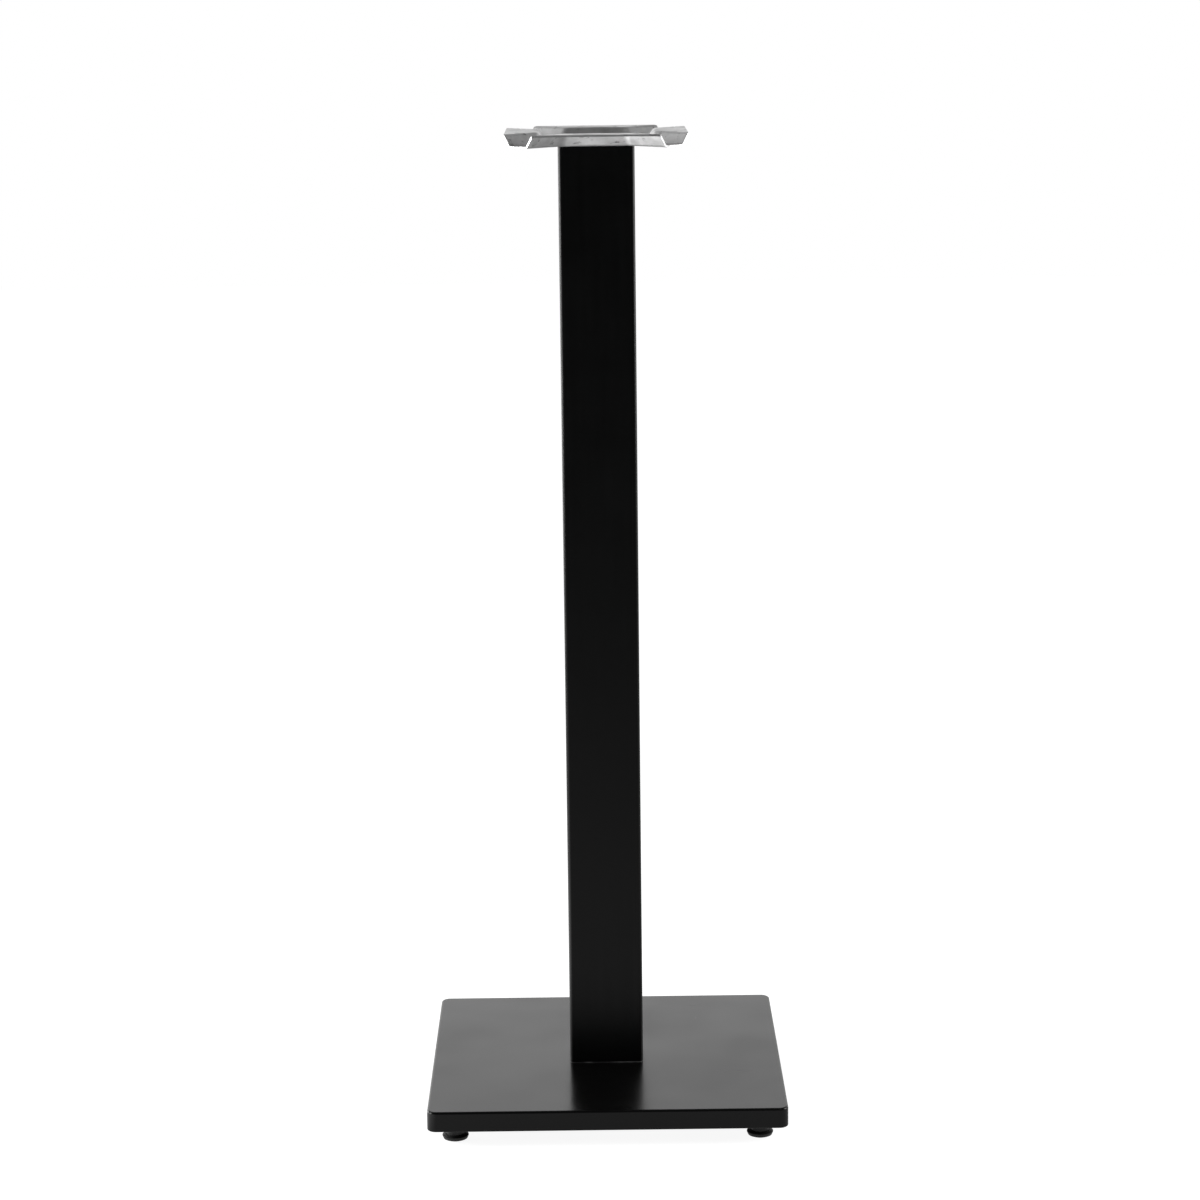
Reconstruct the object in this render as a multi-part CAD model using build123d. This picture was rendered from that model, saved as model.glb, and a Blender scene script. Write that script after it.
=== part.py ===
"""Bar table base: a cast foot plate on levelling feet, a square column, a pressed top plate and a tie rod.

Millimetres. The floor is z = 0, the middle of the foot plate is x = y = 0, and the front faces -y.
"""

import os
from math import copysign, radians, sin, sqrt, tan

from build123d import *

os.makedirs("parts", exist_ok=True)

# Foot plate, an iron casting that is hollow below.
base_side = 382.0
base_height = 22.0
base_corner = 10.0
base_top_round = 2.5
base_low_round = 1.5
base_skin = 9.0
base_rim = 10.0
cell_round = 4.0
roof_round = 2.5
rib_width = 8.0
rib_recess = 3.0
centre_boss_radius = 34.0
centre_boss_height = 3.0
spigot_height = 8.0
spigot_wall = 7.0
spigot_play = 0.3
foot_inset = 29.0
foot_boss_radius = 15.0
foot_bore_depth = 15.0

# Column, a square steel tube.
column_side = 80.0
column_wall = 2.0
column_corner = 4.0
column_length = 1000.0

# Top plate, one pressed sheet: four flat tabs around a crosswise trough.
sheet = 2.0
plate_side = 190.0
plate_tab = 132.0
plate_rise = 14.0
pan_side = 122.0
trough_width = 41.0
wall_slope = 55.0
crease_round = 14.0
bend_round = 3.0
screw_radius = 3.5
screw_edge = 13.0
screw_end = 24.0

# Tie rod with its nuts and washers.
rod_radius = 5.0
rod_play = 0.5
rod_proud = 0.3
rod_chamfer = 1.0
nut_flats = 16.0
nut_height = 5.0
washer_radius = 15.0
washer_height = 2.0

# Levelling feet, a moulded pad on a threaded stem.
foot_gap = 17.5
pad_radius = 14.0
pad_edge = 5.0
pad_shoulder = 1.8
sole_radius = 9.5
knee_radius = 12.8
knee_height = 1.4
rim_low = 4.2
hub_radius = 9.5
hub_height = 12.0
hub_chamfer = 0.8
stem_radius = 5.0
stem_play = 0.05
stem_reach = 10.0
stem_chamfer = 0.8
head_flats = 13.0
head_height = 5.0
head_floor = 3.0

# Levels that follow from the sizes above.
base_low = foot_gap
base_top = base_low + base_height
column_top = base_top + column_length
plate_top = column_top + plate_rise
pan_floor = column_top + sheet
foot_out = base_side / 2 - foot_inset
hollow_roof = base_top - base_skin
centre_face = hollow_roof - centre_boss_height


def block(shape, low, high):
    """Raise a flat outline from one level to another."""
    return extrude(Plane.XY.offset(low) * shape, high - low)


def disc(radius, low, high):
    """An upright cylinder between two levels."""
    return block(Circle(radius), low, high)


def hexagon(flats, low, high):
    """An upright hexagonal prism, sized across its flats."""
    return block(RegularPolygon(flats / 2, 6, major_radius=False), low, high)


def edges_at(solid, level):
    """The edges of a solid that lie flat at one level."""
    found = []
    for edge in solid.edges():
        box = edge.bounding_box()
        if abs(box.min.Z - level) < 0.01 and abs(box.max.Z - level) < 0.01:
            found.append(edge)
    return found


# Foot plate. The outside is a plain slab with its upper edge well rounded.
outside = block(RectangleRounded(base_side, base_side, base_corner), base_low, base_top)
outside = fillet(edges_at(outside, base_top), base_top_round)
outside = fillet(edges_at(outside, base_low), base_low_round)

foot_places = {
    "front_left": (-foot_out, -foot_out),
    "front_right": (foot_out, -foot_out),
    "rear_left": (-foot_out, foot_out),
    "rear_right": (foot_out, foot_out),
}


def soften(outline):
    """Round the inner corners of an outline, as a casting needs them."""
    smaller = offset(outline, -cell_round, kind=Kind.INTERSECTION)
    return offset(smaller, cell_round, kind=Kind.ARC)


# The hollow is open below. A square boss stands in each of its corners, to carry a foot.
inner_side = base_side - 2 * base_rim
inside = Rectangle(inner_side, inner_side)
boss_side = foot_inset + foot_boss_radius
boss_middle = base_side / 2 - boss_side / 2
for x, y in foot_places.values():
    boss = RectangleRounded(boss_side, boss_side, 0.8 * foot_boss_radius)
    inside = inside - Pos(copysign(boss_middle, x), copysign(boss_middle, y)) * boss

# Ribs part it into eight cells around a boss in the middle.
cells = inside - Circle(centre_boss_radius)
for turn in (0, 90):
    cells = cells - Rot(0, 0, turn) * Rectangle(inner_side + base_rim, rib_width)
for turn in (-45, 45):
    cells = cells - Rot(0, 0, turn) * Rectangle(2 * sqrt(2) * foot_out, rib_width)

cell_space = block(soften(cells), base_low + rib_recess, hollow_roof)
cell_space = fillet(edges_at(cell_space, hollow_roof), roof_round)
hollow = block(soften(inside), base_low - 1, base_low + rib_recess) + cell_space
hollow = hollow + disc(centre_boss_radius, base_low - 1, centre_face)
base_plate = outside - hollow

# A square spigot on the plate keeps the column from turning.
spigot_side = column_side - 2 * column_wall - 2 * spigot_play
spigot_corner = max(column_corner - column_wall, 0.5)
spigot = block(RectangleRounded(spigot_side, spigot_side, spigot_corner), base_top - 1, base_top + spigot_height)
spigot_hole = Rectangle(spigot_side - 2 * spigot_wall, spigot_side - 2 * spigot_wall)
spigot = spigot - block(spigot_hole, base_top, base_top + spigot_height)
base_plate = base_plate + spigot
base_plate = base_plate - disc(rod_radius + rod_play, base_low, base_top + spigot_height)

for x, y in foot_places.values():
    bore = disc(stem_radius + stem_play, base_low - 1, base_low + foot_bore_depth)
    base_plate = base_plate - Pos(x, y, 0) * bore

# Column.
column_bore = column_side - 2 * column_wall
column_tube = block(RectangleRounded(column_side, column_side, column_corner), base_top, column_top)
column_tube = column_tube - block(RectangleRounded(column_bore, column_bore, spigot_corner), base_top, column_top)

# Top plate. The press tool is modelled twice, once for each face of the sheet.
slope_run = 1 / tan(radians(wall_slope))
slope_shift = sheet / sin(radians(wall_slope))


def press_tool(floor, top, shift, crease, bend):
    """A square pan crossed by two troughs, with every corner of the walls rounded."""
    low_grow = shift - (plate_top - floor) * slope_run
    high_grow = shift + (top - plate_top) * slope_run
    lower = Plane.XY.offset(floor) * Rectangle(pan_side + 2 * low_grow, pan_side + 2 * low_grow)
    upper = Plane.XY.offset(top) * Rectangle(pan_side + 2 * high_grow, pan_side + 2 * high_grow)
    tool = loft([lower, upper], ruled=True)
    low = trough_width / 2 + low_grow
    high = trough_width / 2 + high_grow
    section = make_face(Polyline((-low, floor), (low, floor), (high, top), (-high, top), close=True))
    across = Plane(origin=(-plate_side, 0, 0), x_dir=(0, 1, 0), z_dir=(1, 0, 0))
    trough = extrude(across * section, 2 * plate_side)
    tool = tool + Rot(0, 0, 45) * trough
    tool = tool + Rot(0, 0, -45) * trough
    creases = []
    for edge in tool.edges():
        box = edge.bounding_box()
        spot = edge.center()
        if box.max.Z - box.min.Z > 1 and abs(spot.X) + abs(spot.Y) < 1.25 * plate_side:
            creases.append(edge)
    tool = fillet(creases, crease)
    floor_edges = []
    for edge in edges_at(tool, floor):
        spot = edge.center()
        if abs(spot.X) + abs(spot.Y) < 1.25 * plate_side:
            floor_edges.append(edge)
    return fillet(floor_edges, bend)


upper_face = press_tool(pan_floor, plate_top + 1, 0, crease_round, bend_round)
lower_face = press_tool(column_top, plate_top, slope_shift, crease_round - slope_shift, bend_round + sheet)

half = plate_side / 2
tab = plate_tab / 2
blank_points = [(-tab, -half), (tab, -half), (half, -tab), (half, tab)]
blank_points = blank_points + [(-x, -y) for x, y in blank_points]
blank = block(make_face(Polyline(*blank_points, close=True)), column_top, plate_top)
deck = blank & block(Rectangle(plate_side, plate_side), plate_top - sheet, plate_top)
top_plate = (deck + (blank & lower_face)) - upper_face


def inner_edges(solid, level):
    """The edges at one level that lie inside the outline of the sheet."""
    found = []
    for edge in edges_at(solid, level):
        spot = edge.center()
        inside_sides = max(abs(spot.X), abs(spot.Y)) < half - 0.5
        inside_corners = abs(spot.X) + abs(spot.Y) < half + tab - 1
        if inside_sides and inside_corners:
            found.append(edge)
    return found


top_plate = fillet(inner_edges(top_plate, plate_top), bend_round + sheet)
top_plate = fillet(inner_edges(top_plate, plate_top - sheet), bend_round)

screw_out = half - screw_edge
screw_along = tab - screw_end
screw_places = []
for side in (-1, 1):
    for end in (-1, 1):
        screw_places.append((side * screw_out, end * screw_along))
        screw_places.append((end * screw_along, side * screw_out))

for x, y in screw_places:
    top_plate = top_plate - Pos(x, y, 0) * disc(screw_radius, column_top, plate_top + 1)

top_plate = top_plate - disc(rod_radius + rod_play, column_top - 1, plate_top)

# Tie rod, drawn tight by a nut and washer at each end.
top_washer_low = pan_floor
top_nut_low = top_washer_low + washer_height
rod_top = top_nut_low + nut_height + rod_proud
bottom_washer_low = centre_face - washer_height
bottom_nut_low = bottom_washer_low - nut_height
rod_low = bottom_nut_low - rod_proud

tie_rod = disc(rod_radius, rod_low, rod_top)
tie_rod = chamfer(edges_at(tie_rod, rod_low) + edges_at(tie_rod, rod_top), rod_chamfer)


def washer(low):
    """A flat washer around the rod."""
    return disc(washer_radius, low, low + washer_height) - disc(rod_radius + rod_play, low, low + washer_height)


def nut(low):
    """A hexagon nut with its corners turned off at both ends."""
    body = hexagon(nut_flats, low, low + nut_height)
    corner_radius = nut_flats / sqrt(3)
    turned = disc(corner_radius, low, low + nut_height)
    turned = chamfer(edges_at(turned, low) + edges_at(turned, low + nut_height), nut_height / 10)
    return (body & turned) - disc(rod_radius, low, low + nut_height)


# Levelling feet. The stem's hexagon head is moulded into the pad.
stem_top = base_low + stem_reach
stem = disc(stem_radius, head_floor, stem_top)
stem = chamfer(edges_at(stem, stem_top), stem_chamfer)
stem = stem + hexagon(head_flats, head_floor, head_floor + head_height)

shoulder = pad_edge + pad_shoulder
with BuildPart() as pad_builder:
    with BuildSketch(Plane.XZ):
        with BuildLine():
            Polyline((0, 0), (sole_radius, 0), (knee_radius, knee_height), (pad_radius, rim_low))
            Polyline((pad_radius, rim_low), (pad_radius, pad_edge), (hub_radius, shoulder))
            Polyline((hub_radius, shoulder), (hub_radius, hub_height), (0, hub_height), (0, 0))
        make_face()
    revolve(axis=Axis.Z)

pad = chamfer(edges_at(pad_builder.part, hub_height), hub_chamfer)
pad = pad - stem

# One file for each piece.
pieces = {
    "base_plate": base_plate,
    "column_tube": column_tube,
    "top_plate": top_plate,
    "tie_rod": tie_rod,
    "top_washer": washer(top_washer_low),
    "top_nut": nut(top_nut_low),
    "bottom_washer": washer(bottom_washer_low),
    "bottom_nut": nut(bottom_nut_low),
}

for place, (x, y) in foot_places.items():
    pieces["foot_pad_" + place] = Pos(x, y, 0) * pad
    pieces["foot_stem_" + place] = Pos(x, y, 0) * stem

for name, piece in pieces.items():
    export_step(piece, "parts/" + name + ".step")
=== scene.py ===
# %% [markdown]
# A bar table base has three things to see: a black iron foot plate, a black square column, and a
# zinc-plated plate on top that a tabletop is screwed to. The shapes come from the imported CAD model.
# This script gives them their finishes, makes the threads of the levelling feet, and sets up the
# floor, the light and the camera.

# %% Load the frame
from math import radians, sqrt

import bpy
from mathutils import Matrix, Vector


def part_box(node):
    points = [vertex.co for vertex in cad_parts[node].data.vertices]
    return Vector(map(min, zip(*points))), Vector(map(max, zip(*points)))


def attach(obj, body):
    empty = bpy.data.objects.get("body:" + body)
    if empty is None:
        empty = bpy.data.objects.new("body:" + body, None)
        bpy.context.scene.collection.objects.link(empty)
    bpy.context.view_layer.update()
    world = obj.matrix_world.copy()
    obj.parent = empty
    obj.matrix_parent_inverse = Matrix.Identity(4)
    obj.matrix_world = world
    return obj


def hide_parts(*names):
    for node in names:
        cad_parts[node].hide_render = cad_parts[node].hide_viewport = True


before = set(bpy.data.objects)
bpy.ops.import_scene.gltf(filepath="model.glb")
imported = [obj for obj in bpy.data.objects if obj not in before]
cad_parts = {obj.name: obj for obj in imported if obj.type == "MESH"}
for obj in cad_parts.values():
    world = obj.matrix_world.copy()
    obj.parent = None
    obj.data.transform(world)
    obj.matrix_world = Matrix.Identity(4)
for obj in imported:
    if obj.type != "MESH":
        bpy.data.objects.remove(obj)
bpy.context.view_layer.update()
print("nodes:", sorted(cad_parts))

# %% [markdown]
# Every finish is built from nodes, so three small classes keep that readable. A Value wraps the output
# of a node and lets shader maths be written as ordinary Python. A Nodes wraps a node tree, and its node
# method adds any other kind of node. A Finish is the tree of one material.


# %% Helpers for the finishes
class Value:
    """One output of a node, which adds Math nodes when it is used in an expression."""

    def __init__(self, nodes, socket):
        self.nodes = nodes
        self.socket = socket

    def maths(self, operation, first, second):
        return self.nodes.node("ShaderNodeMath", {"operation": operation}, {0: first, 1: second})

    def __add__(self, other):
        return self.maths("ADD", self, other)

    def __radd__(self, other):
        return self.maths("ADD", other, self)

    def __sub__(self, other):
        return self.maths("SUBTRACT", self, other)

    def __rsub__(self, other):
        return self.maths("SUBTRACT", other, self)

    def __mul__(self, other):
        return self.maths("MULTIPLY", self, other)

    def __rmul__(self, other):
        return self.maths("MULTIPLY", other, self)

    def most(self, other):
        return self.maths("MAXIMUM", self, other)


class Nodes:
    """A node tree, and the few patterns that the finishes share."""

    def __init__(self, tree):
        self.tree = tree

    def node(self, kind, settings=None, inputs=None, output=0):
        made = self.tree.nodes.new(kind)
        for key, value in (settings or {}).items():
            setattr(made, key, value)
        for key, value in (inputs or {}).items():
            self.feed(made.inputs[key], value)
        return Value(self, made.outputs[output])

    def feed(self, socket, value):
        if isinstance(value, Value):
            self.tree.links.new(value.socket, socket)
        else:
            socket.default_value = value

    def place(self, stretch=(1.0, 1.0, 1.0)):
        """Object coordinates in metres, stretched where a pattern runs one way."""
        spot = self.node("ShaderNodeTexCoord", output="Object")
        return self.node("ShaderNodeMapping", {}, {"Vector": spot, "Scale": stretch})

    def axis(self, where, letter):
        """One coordinate of a place."""
        return self.node("ShaderNodeSeparateXYZ", {}, {0: where}, output=letter)

    def noise(self, where, scale, detail=3.0, rough=0.5):
        """Soft cloudy noise between 0 and 1, with scale in features per metre."""
        sizes = {"Vector": where, "Scale": scale, "Detail": detail, "Roughness": rough}
        return self.node("ShaderNodeTexNoise", {}, sizes)

    def between(self, value, low, high, start=0.0, end=1.0):
        """Spread a value that runs from low to high over start to end, and clamp it."""
        limits = {"Value": value, "From Min": low, "From Max": high, "To Min": start, "To Max": end}
        return self.node("ShaderNodeMapRange", {"clamp": True}, limits)

    def blend(self, factor, first, second):
        """Mix two colours."""
        sides = {0: factor, 6: first, 7: second}
        return self.node("ShaderNodeMix", {"data_type": "RGBA"}, sides, output=2)

    def bump(self, height, strength, distance, normal=None):
        """Turn a height into a surface normal."""
        sizes = {"Height": height, "Strength": strength, "Distance": distance}
        if normal is not None:
            sizes["Normal"] = normal
        return self.node("ShaderNodeBump", {}, sizes)

    def ray(self, kind):
        """1 where the light path is of one kind, and 0 elsewhere."""
        return self.node("ShaderNodeLightPath", output="Is " + kind + " Ray")


class Finish(Nodes):
    """One material, with its Principled shader ready to be fed."""

    def __init__(self, name):
        self.material = bpy.data.materials.new(name)
        self.material.use_nodes = True
        super().__init__(self.material.node_tree)
        self.shader = self.tree.nodes["Principled BSDF"]

    def set(self, **values):
        for key, value in values.items():
            self.feed(self.shader.inputs[key.replace("_", " ")], value)


def grey(level):
    return (level, level, level, 1.0)


def dress(names, finish):
    """Give a finish to CAD nodes, whose shapes stay as they are."""
    for name in names:
        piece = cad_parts[name]
        piece.data.materials.clear()
        piece.data.materials.append(finish.material)
    print(finish.material.name, "on", len(names), "pieces")


# %% [markdown]
# The foot plate is an iron casting under a satin black powder coat. A powder coat is faintly dimpled,
# and a casting under it is never quite flat, so two bumps are used: a fine one for the coat and a broad
# one for the casting. Handling leaves cloudy smears and a few hairlines. They could be painted into the
# colour, but on black they change how sharply the coat mirrors light and hardly its colour, so they go
# into the roughness. Apart from the hairlines it stays between 0.16 and 0.28: a coat that went from 0.19
# up to 0.32 showed false outlines once denoised.

# %% Black coat on the foot plate
coat_ior = 1.33
iron = Finish("black coat on iron")
iron_place = iron.place()
iron_long = iron.place((0.06, 1.0, 1.0))
iron_cloud = iron.noise(iron_place, 14.0, 4.0)
iron_smear = iron.noise(iron_place, 11.0, 2.0, 0.4)
iron_speck = iron.noise(iron_place, 420.0, 2.0)
iron_hair = iron.noise(iron_long, 260.0, 3.0, 0.6)
iron_peel = iron.noise(iron_place, 900.0, 2.0)
iron_swell = iron.noise(iron_place, 9.0, 1.0)
iron_tint = iron.blend(iron.between(iron_cloud, 0.3, 0.7), grey(0.0014), grey(0.0022))
iron_dull = iron.between(iron_smear, 0.3, 0.7, 0.16, 0.26)
iron_scratch = iron.between(iron_hair, 0.72, 0.8, 0.0, 0.07)
iron_dust = iron.between(iron_speck, 0.4, 0.75, 0.0, 0.012)
iron_rough = iron_dull + (iron_scratch + iron_dust)
iron_flat = iron.bump(iron_swell, 0.25, 0.0015)
iron_normal = iron.bump(iron_peel, 0.1, 0.0002, iron_flat)
iron.set(Base_Color=iron_tint, Roughness=iron_rough, Normal=iron_normal)
iron.set(Metallic=0.0, IOR=coat_ior)
dress(["base_plate"], iron)

# %% [markdown]
# The column wears the same coat on a smooth drawn tube, so it is darker and its bump is finer. Faint
# streaks run up the tube, as the drawing die leaves them. They are a noise that is stretched along the
# height, so no lines have to be drawn. At its foot a thin pale line is painted into the colour along the
# cut edge and broken up by a noise, so the colour there depends on the height.

# %% Black coat on the column
foot_of_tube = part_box("column_tube")[0][2]
pale_line_full = foot_of_tube + 0.0007
pale_line_clear = foot_of_tube + 0.0012
tube = Finish("black coat on steel tube")
tube_place = tube.place()
tube_long = tube.place((1.0, 1.0, 0.03))
tube_streak = tube.noise(tube_long, 260.0, 3.0)
tube_cloud = tube.noise(tube_place, 18.0, 3.0)
tube_line_noise = tube.noise(tube_place, 60.0, 4.0)
tube_peel = tube.noise(tube_place, 1100.0, 2.0)
# A thin pale line is painted into the colour at the foot of the tube, along its cut edge, broken up by a
# noise.
tube_foot_band = tube.between(tube.axis(tube_place, "Z"), pale_line_clear, pale_line_full)
tube_pale_line = tube_foot_band * tube.between(tube_line_noise, 0.4, 0.6, 0.2, 1.0)
tube_black = tube.blend(tube.between(tube_cloud, 0.3, 0.7), grey(0.0006), grey(0.001))
tube_tint = tube.blend(tube_pale_line, tube_black, grey(0.16))
tube_drawn = tube.between(tube_streak, 0.3, 0.7, 0.3, 0.35)
tube_rough = tube_drawn + tube.between(tube_cloud, 0.3, 0.7, 0.0, 0.05)
tube_normal = tube.bump(tube_peel, 0.08, 0.0002)
tube.set(Base_Color=tube_tint, Roughness=tube_rough, Normal=tube_normal)
tube.set(Metallic=0.0, IOR=coat_ior)
dress(["column_tube"], tube)

# %% [markdown]
# The top plate is pressed from sheet and zinc plated. Zinc is bright but never even: it has pale and
# dull patches a few centimetres across, a fine grain from the rolling mill, and short dark scuffs where
# the press tool or another plate rubbed it. One noise can't be all three, so there is one for each, at
# its own size in metres, and the grain and the scuffs are drawn out along the sheet.

# %% Zinc on the pressed plate
scuff_cover = 0.85
zinc = Finish("zinc on pressed sheet")
zinc_place = zinc.place()
zinc_long = zinc.place((0.12, 1.0, 1.0))
zinc_short = zinc.place((0.4, 1.0, 1.0))
zinc_patch = zinc.noise(zinc_place, 38.0, 4.0, 0.55)
zinc_grain = zinc.noise(zinc_long, 900.0, 3.0)
zinc_scuff = zinc.noise(zinc_short, 190.0, 4.0, 0.65)
zinc_dent = zinc.noise(zinc_place, 30.0, 2.0)
zinc_tint = zinc.blend(zinc.between(zinc_patch, 0.3, 0.7), grey(0.48), grey(0.76))
zinc_mark = zinc.between(zinc_scuff, 0.6, 0.7)
zinc_worn = zinc.blend(zinc_mark * scuff_cover, zinc_tint, grey(0.1))
zinc_dull = zinc.between(zinc_patch, 0.3, 0.7, 0.56, 0.42)
zinc_rough = zinc_dull + zinc.between(zinc_grain, 0.3, 0.7, 0.0, 0.06)
zinc_flat = zinc.bump(zinc_dent, 0.3, 0.0008)
zinc_normal = zinc.bump(zinc_grain, 0.1, 0.0001, zinc_flat)
zinc.set(Base_Color=zinc_worn, Roughness=zinc_rough, Normal=zinc_normal, Metallic=1.0)
dress(["top_plate"], zinc)

# %% [markdown]
# The rod, nuts, washers and foot stems are plated too. They could share the plate's finish, but its
# patches are larger than a nut, so they get a finer and more even zinc of their own.

# %% Zinc on the fixings
fixing = Finish("zinc on fixings")
fixing_place = fixing.place()
fixing_patch = fixing.noise(fixing_place, 160.0, 4.0)
fixing_grain = fixing.noise(fixing_place, 1500.0, 2.0)
fixing_tint = fixing.blend(fixing.between(fixing_patch, 0.3, 0.7), grey(0.5), grey(0.7))
fixing_rough = fixing.between(fixing_patch, 0.3, 0.7, 0.4, 0.28)
fixing_normal = fixing.bump(fixing_grain, 0.1, 0.0001)
fixing.set(Base_Color=fixing_tint, Roughness=fixing_rough, Normal=fixing_normal, Metallic=1.0)
corners = ["front_left", "front_right", "rear_left", "rear_right"]
fixings = ["tie_rod", "top_washer", "top_nut", "bottom_washer", "bottom_nut"]
dress(fixings + ["foot_stem_" + corner for corner in corners], fixing)

# %% [markdown]
# The foot pads are moulded in black plastic. One flat black would look like a hole under the base, so
# it is duller than the coat, with a fine spark-eroded texture from the mould and a little pale dust.

# %% Black plastic on the foot pads
plastic = Finish("black moulded plastic")
plastic_place = plastic.place()
plastic_cloud = plastic.noise(plastic_place, 120.0, 3.0)
plastic_grain = plastic.noise(plastic_place, 1800.0, 2.0)
plastic_tint = plastic.blend(plastic.between(plastic_cloud, 0.45, 0.75), grey(0.012), grey(0.03))
plastic_rough = plastic.between(plastic_cloud, 0.3, 0.7, 0.38, 0.5)
plastic_normal = plastic.bump(plastic_grain, 0.2, 0.0002)
plastic.set(Base_Color=plastic_tint, Roughness=plastic_rough, Normal=plastic_normal, IOR=1.5)
dress(["foot_pad_" + corner for corner in corners], plastic)

# %% [markdown]
# Each levelling foot hangs on a threaded stem, and the CAD model leaves the thread out. A thread is one
# tooth carried round and up, so it is made that way: one vertex is extruded along the outline of a
# tooth, an Array stacks that outline once for each turn, and a Screw modifier sweeps the stack round
# once while it climbs one pitch, so every tooth runs into the next. The ends are then cut off flat. A
# Boolean could cut the same groove out of a rod, but it leaves ragged faces where the groove runs out.

# %% One threaded stem
stem_low, stem_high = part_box("foot_stem_front_left")
thread_radius = 0.005
thread_pitch = 0.0015
thread_depth = 0.0009
thread_facets = 40
thread_lead = 1.5 * thread_pitch
spare_turns = 3
head_height = 0.005
head_bevel = 0.0004
head_flats = stem_high[1] - stem_low[1]
thread_low = stem_low[2] + head_height
thread_turns = int((stem_high[2] - thread_low) / thread_pitch) + spare_turns
merge_gap = thread_pitch / 1000.0

bpy.ops.object.select_all(action="DESELECT")
bpy.ops.mesh.primitive_plane_add(size=thread_pitch, location=(0.0, 0.0, 0.0))
stem = bpy.context.object
bpy.ops.object.mode_set(mode="EDIT")
bpy.ops.mesh.merge(type="CENTER")
start = (thread_radius - thread_depth, 0.0, thread_low - thread_lead)
bpy.ops.transform.translate(value=start)
# Each step of the tooth goes out by a length and up by a share of the pitch.
tooth = [(0.0, 0.125), (thread_depth, 0.375), (0.0, 0.125), (-thread_depth, 0.375)]
for out, rise in tooth:
    step = (out, 0.0, rise * thread_pitch)
    bpy.ops.mesh.extrude_vertices_move(TRANSFORM_OT_translate={"value": step})
bpy.ops.object.mode_set(mode="OBJECT")

stack = stem.modifiers.new("teeth", "ARRAY")
stack.count = thread_turns
stack.use_relative_offset = False
stack.use_constant_offset = True
stack.constant_offset_displace = (0.0, 0.0, thread_pitch)
stack.use_merge_vertices = True
stack.merge_threshold = merge_gap
helix = stem.modifiers.new("helix", "SCREW")
helix.axis = "Z"
helix.screw_offset = thread_pitch
helix.steps = thread_facets
helix.render_steps = thread_facets
bpy.ops.object.modifier_apply(modifier="teeth")
bpy.ops.object.modifier_apply(modifier="helix")

up = (0.0, 0.0, 1.0)
thread_start = (0.0, 0.0, thread_low)
thread_end = (0.0, 0.0, stem_high[2])
head_place = (0.0, 0.0, stem_low[2] + head_height / 2.0)
head_radius = head_flats / sqrt(3.0)
bpy.ops.object.mode_set(mode="EDIT")
bpy.ops.mesh.select_all(action="SELECT")
bpy.ops.mesh.remove_doubles(threshold=merge_gap)
bpy.ops.mesh.bisect(plane_co=thread_start, plane_no=up, use_fill=True, clear_inner=True)
bpy.ops.mesh.select_all(action="SELECT")
bpy.ops.mesh.bisect(plane_co=thread_end, plane_no=up, use_fill=True, clear_outer=True)
bpy.ops.mesh.select_all(action="SELECT")
bpy.ops.mesh.normals_make_consistent(inside=False)
bpy.ops.mesh.select_all(action="DESELECT")
bpy.ops.mesh.primitive_cylinder_add(
    vertices=6, radius=head_radius, depth=head_height, location=head_place)
bpy.ops.transform.rotate(value=radians(30.0), orient_axis="Z", center_override=head_place)
bpy.ops.mesh.bevel(offset=head_bevel, segments=2, affect="EDGES")
bpy.ops.object.mode_set(mode="OBJECT")
bpy.ops.object.shade_flat()
stem.data.materials.append(fixing.material)
print("thread:", thread_turns, "turns,", len(stem.data.polygons), "faces")

# %% [markdown]
# The thread is the same on every foot, so the stem is modelled once and copied four times, each copy
# with its own mesh. A copy is moved to its foot and the move is applied, so that its place is in its
# mesh, and it rides on the body of its foot. The model that was copied is then removed.

# %% Four threaded stems
for corner in corners:
    low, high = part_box("foot_stem_" + corner)
    middle = ((low[0] + high[0]) / 2.0, (low[1] + high[1]) / 2.0, 0.0)
    bpy.ops.object.select_all(action="DESELECT")
    stem.select_set(True)
    bpy.context.view_layer.objects.active = stem
    bpy.ops.object.duplicate(linked=False)
    piece = bpy.context.object
    piece.name = "threaded_stem_" + corner
    bpy.ops.transform.translate(value=middle)
    bpy.ops.object.transform_apply(location=True, rotation=True, scale=True)
    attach(piece, "foot_" + corner)
    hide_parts("foot_stem_" + corner)
    print(piece.name, "at", [round(value, 4) for value in middle])
bpy.data.objects.remove(stem)

# %% [markdown]
# The base stands on a white sweep. To the camera the floor glows a little below white, and its own
# shading adds the rest, so that the object still has a shadow under it. Stronger lamps could whiten the
# floor too, but they would wash out the object. In mirrored light the floor glows with painted light:
# brighter behind the object and to its left, and fading towards the camera. A painted pool of light lies
# on the left of the foot plate, and the sloped front edge of the top plate mirrors it.

# %% Floor
floor_reach = 9.0
floor_drop = 0.0002
floor_glow = 0.92
pool_glow = 3.2
bpy.ops.object.select_all(action="DESELECT")
bpy.ops.mesh.primitive_plane_add(size=2.0 * floor_reach, location=(0.0, 0.0, -floor_drop))
floor = bpy.context.object
floor.name = "floor"
bpy.ops.object.transform_apply(location=True, rotation=True, scale=True)
sweep = Finish("white sweep")
sweep_place = sweep.place()
sweep_across = sweep.axis(sweep_place, "X")
sweep_deep = sweep.axis(sweep_place, "Y")
# Painted light, seen only in mirrors: the floor glows brighter behind and to the left, fades towards the
# camera, and has a painted pool of light on the left.
sweep_front = sweep.between(sweep_deep, -3.2, -0.3, 0.0, 0.25)
sweep_back = sweep.between(sweep_deep, -0.1, 0.5, 0.0, 0.2)
sweep_side = sweep.between(sweep_across, -1.0, 1.0, 1.8, 1.2)
pool_right = sweep.between(sweep_across, -0.2, -0.5, 0.0, pool_glow)
pool_left = sweep.between(sweep_across, -1.3, -0.7)
pool_near = sweep.between(sweep_deep, -0.9, -0.5)
pool_far = sweep.between(sweep_deep, 0.6, 0.2)
sweep_pool = pool_right * pool_near * pool_far * pool_left
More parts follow.
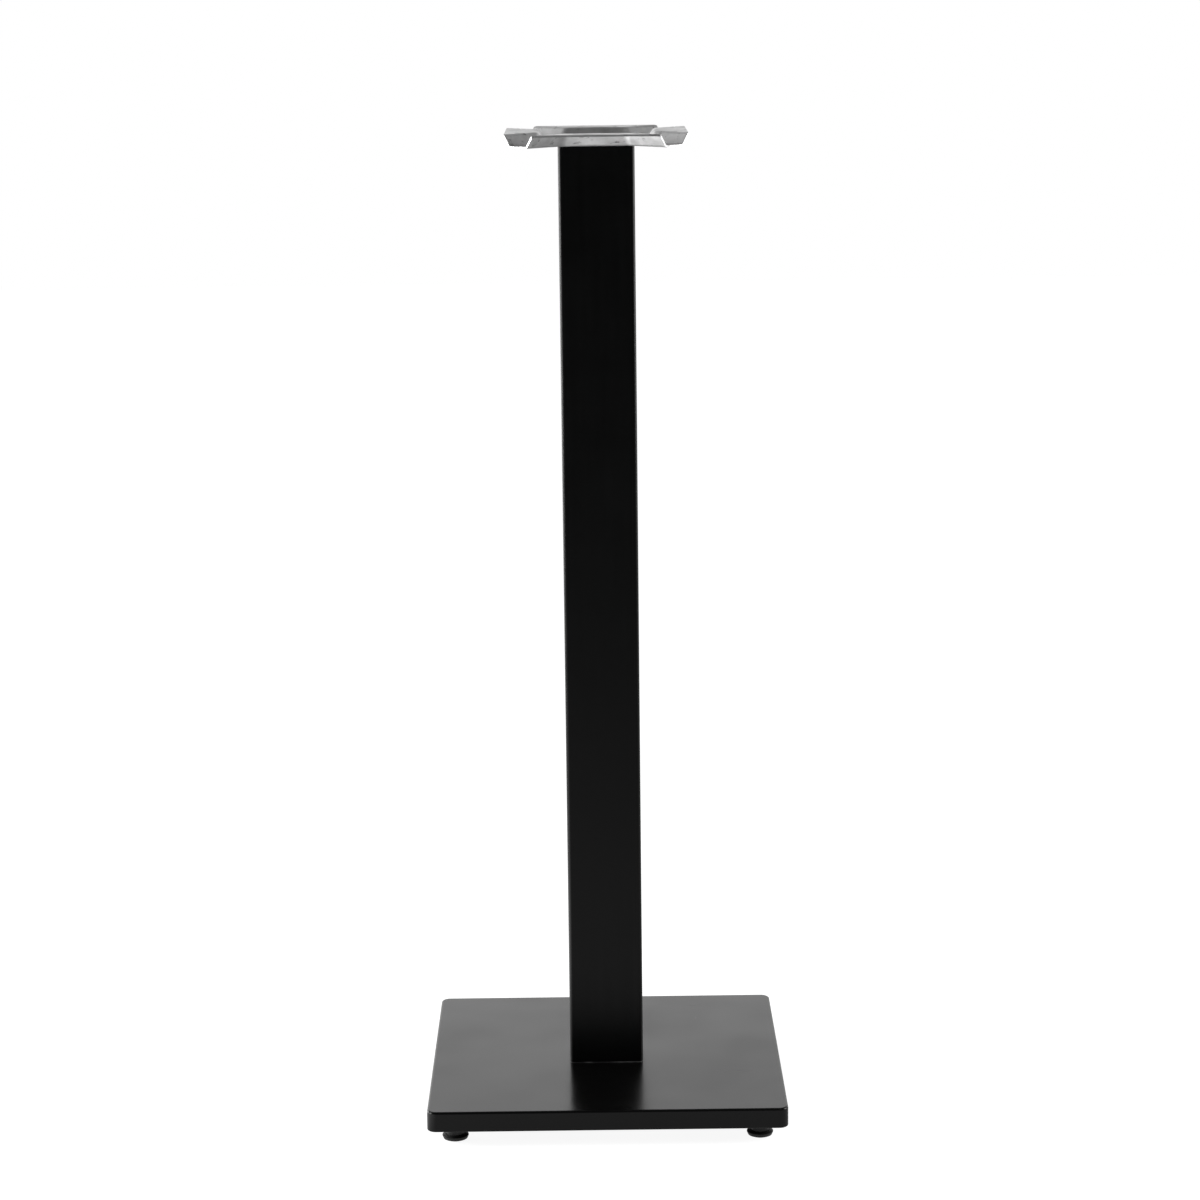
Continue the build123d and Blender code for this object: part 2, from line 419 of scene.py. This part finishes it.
sweep_gloss = sweep.ray("Glossy") * ((sweep_front + sweep_back) * sweep_side + sweep_pool)
sweep_seen = sweep.ray("Camera").most(sweep.ray("Transmission")) * floor_glow
sweep.set(Base_Color=grey(0.3), Roughness=0.9, Specular_IOR_Level=0.0)
sweep.set(Emission_Color=sweep_seen.most(sweep_gloss), Emission_Strength=1.0)
floor.data.materials.append(sweep.material)
print("floor:", 2.0 * floor_reach, "m square")

# %% [markdown]
# The studio is bright behind the base, brighter on its left than on its right, and dark on the camera's
# side, where only a faint glow comes from higher up. That is why the column's front is nearly black
# while the top of the foot plate, seen at a low angle, mirrors light. White cards on stands could do
# this, but they would show in other views, so the world does it, and it is plain white to the camera.

# %% World
back_turn = 0.25
front_glow = 0.1
world = bpy.data.worlds.new("studio")
bpy.context.scene.world = world
world.use_nodes = True
sky = Nodes(world.node_tree)
sky_way = sky.node("ShaderNodeTexCoord", output="Generated")
sky_right = sky.axis(sky_way, "X")
sky_deep = sky.axis(sky_way, "Y")
sky_up = sky.axis(sky_way, "Z")
sky_back = sky.between(sky_deep - sky_right * back_turn, -0.1, 0.4, 0.03, 1.0)
sky_side = sky.between(sky_right, -0.8, 0.8, 1.34, 0.62)
sky_high = sky.between(sky_up, 0.0, 0.2, 0.4, 1.6) - sky.between(sky_up, 0.25, 0.6, 0.0, 1.2)
sky_front = sky.between(sky_deep, -0.2, -0.7) * sky.between(sky_up, 0.14, 0.3, 0.0, front_glow)
sky_seen = sky.ray("Camera").most(sky.ray("Transmission"))
sky_shader = sky.tree.nodes["Background"]
sky.feed(sky_shader.inputs["Color"], sky_seen.most(sky_back * sky_side * sky_high + sky_front))
sky.feed(sky_shader.inputs["Strength"], 1.0)
print("world:", world.name)

# %% [markdown]
# Four softboxes stand round the base. The left and right ones pick out the rounded corners of the column
# and model the pressed plate. The edge one, behind on the left, brightens the column's left edge. The
# top one, high on the right, is weak and lights the pan. Small bare lamps would give the zinc hard
# glints, so all four are large.


# %% Lamps
def softbox(name, place, aim, size, watts):
    """A square area lamp that looks at a point."""
    bpy.ops.object.light_add(type="AREA", location=place)
    lamp = bpy.context.object
    lamp.name = name
    lamp.data.shape = "SQUARE"
    lamp.data.size = size
    lamp.data.energy = watts
    lamp.rotation_euler = (Vector(aim) - Vector(place)).to_track_quat("-Z", "Y").to_euler()
    print(name, watts, "W")


upper_column = (0.0, 0.0, 0.9)
middle_column = (0.0, 0.0, 0.7)
column_end = (0.0, 0.0, 1.0)
softbox("left softbox", place=(-2.0, -0.4, 0.95), aim=upper_column, size=1.0, watts=40.0)
softbox("right softbox", place=(2.1, 0.0, 1.1), aim=upper_column, size=1.2, watts=36.0)
softbox("top softbox", place=(1.1, -1.3, 2.9), aim=column_end, size=0.9, watts=3.6)
softbox("edge softbox", place=(-2.3, 1.5, 0.72), aim=middle_column, size=1.4, watts=40.0)

# %% [markdown]
# The camera could be placed by eye, but it was found by fitting the corners of the foot plate and the
# edges of the column, so that the shapes fall where the photograph has them. It is a long lens about
# 3.4 m away, a little higher than the top plate, looking down by 11 degrees.

# %% Camera
camera_place = (-0.00866, -3.41062, 1.2312)
camera_degrees = (78.7067, 0.66055, -0.25506)
bpy.ops.object.camera_add(location=camera_place)
camera = bpy.context.object
camera.rotation_euler = [radians(angle) for angle in camera_degrees]
camera.data.sensor_width = 36.0
camera.data.lens = 96.549
bpy.context.scene.camera = camera
bpy.context.scene.view_settings.view_transform = "Standard"
print("camera:", camera.data.lens, "mm lens")
